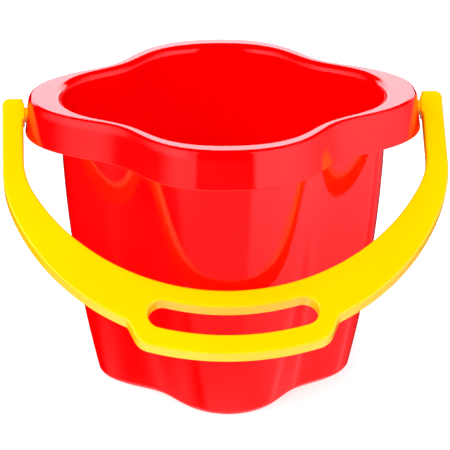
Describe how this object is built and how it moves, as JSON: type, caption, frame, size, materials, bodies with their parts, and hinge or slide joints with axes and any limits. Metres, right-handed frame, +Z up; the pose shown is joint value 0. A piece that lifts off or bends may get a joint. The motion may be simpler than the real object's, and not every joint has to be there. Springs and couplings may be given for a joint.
{
  "type": "sand bucket",
  "caption": "Child's flower-shaped sand bucket with a flat rim and a swinging bail handle with a finger slot.",
  "frame": {"origin": "middle of the bucket's flat underside, on its upright axis", "axes": "+Z up; X runs through the two handle pins; the handle hangs towards -Y at rest"},
  "size_m": [0.2042, 0.1874, 0.1375],
  "materials": {
    "bucket_plastic": "glossy red injection-moulded polypropylene",
    "handle_plastic": "satin yellow injection-moulded polypropylene"
  },
  "bodies": {
    "bucket": {"bucket": "bucket_plastic"},
    "handle": {"handle": "handle_plastic"}
  },
  "joints": [
    {"name": "handle_swing", "type": "hinge", "parent": "bucket", "child": "handle", "pos_m": [0, 0, 0.1281], "axis": [-1, 0, 0], "range_deg": [0, 260]}
  ]
}
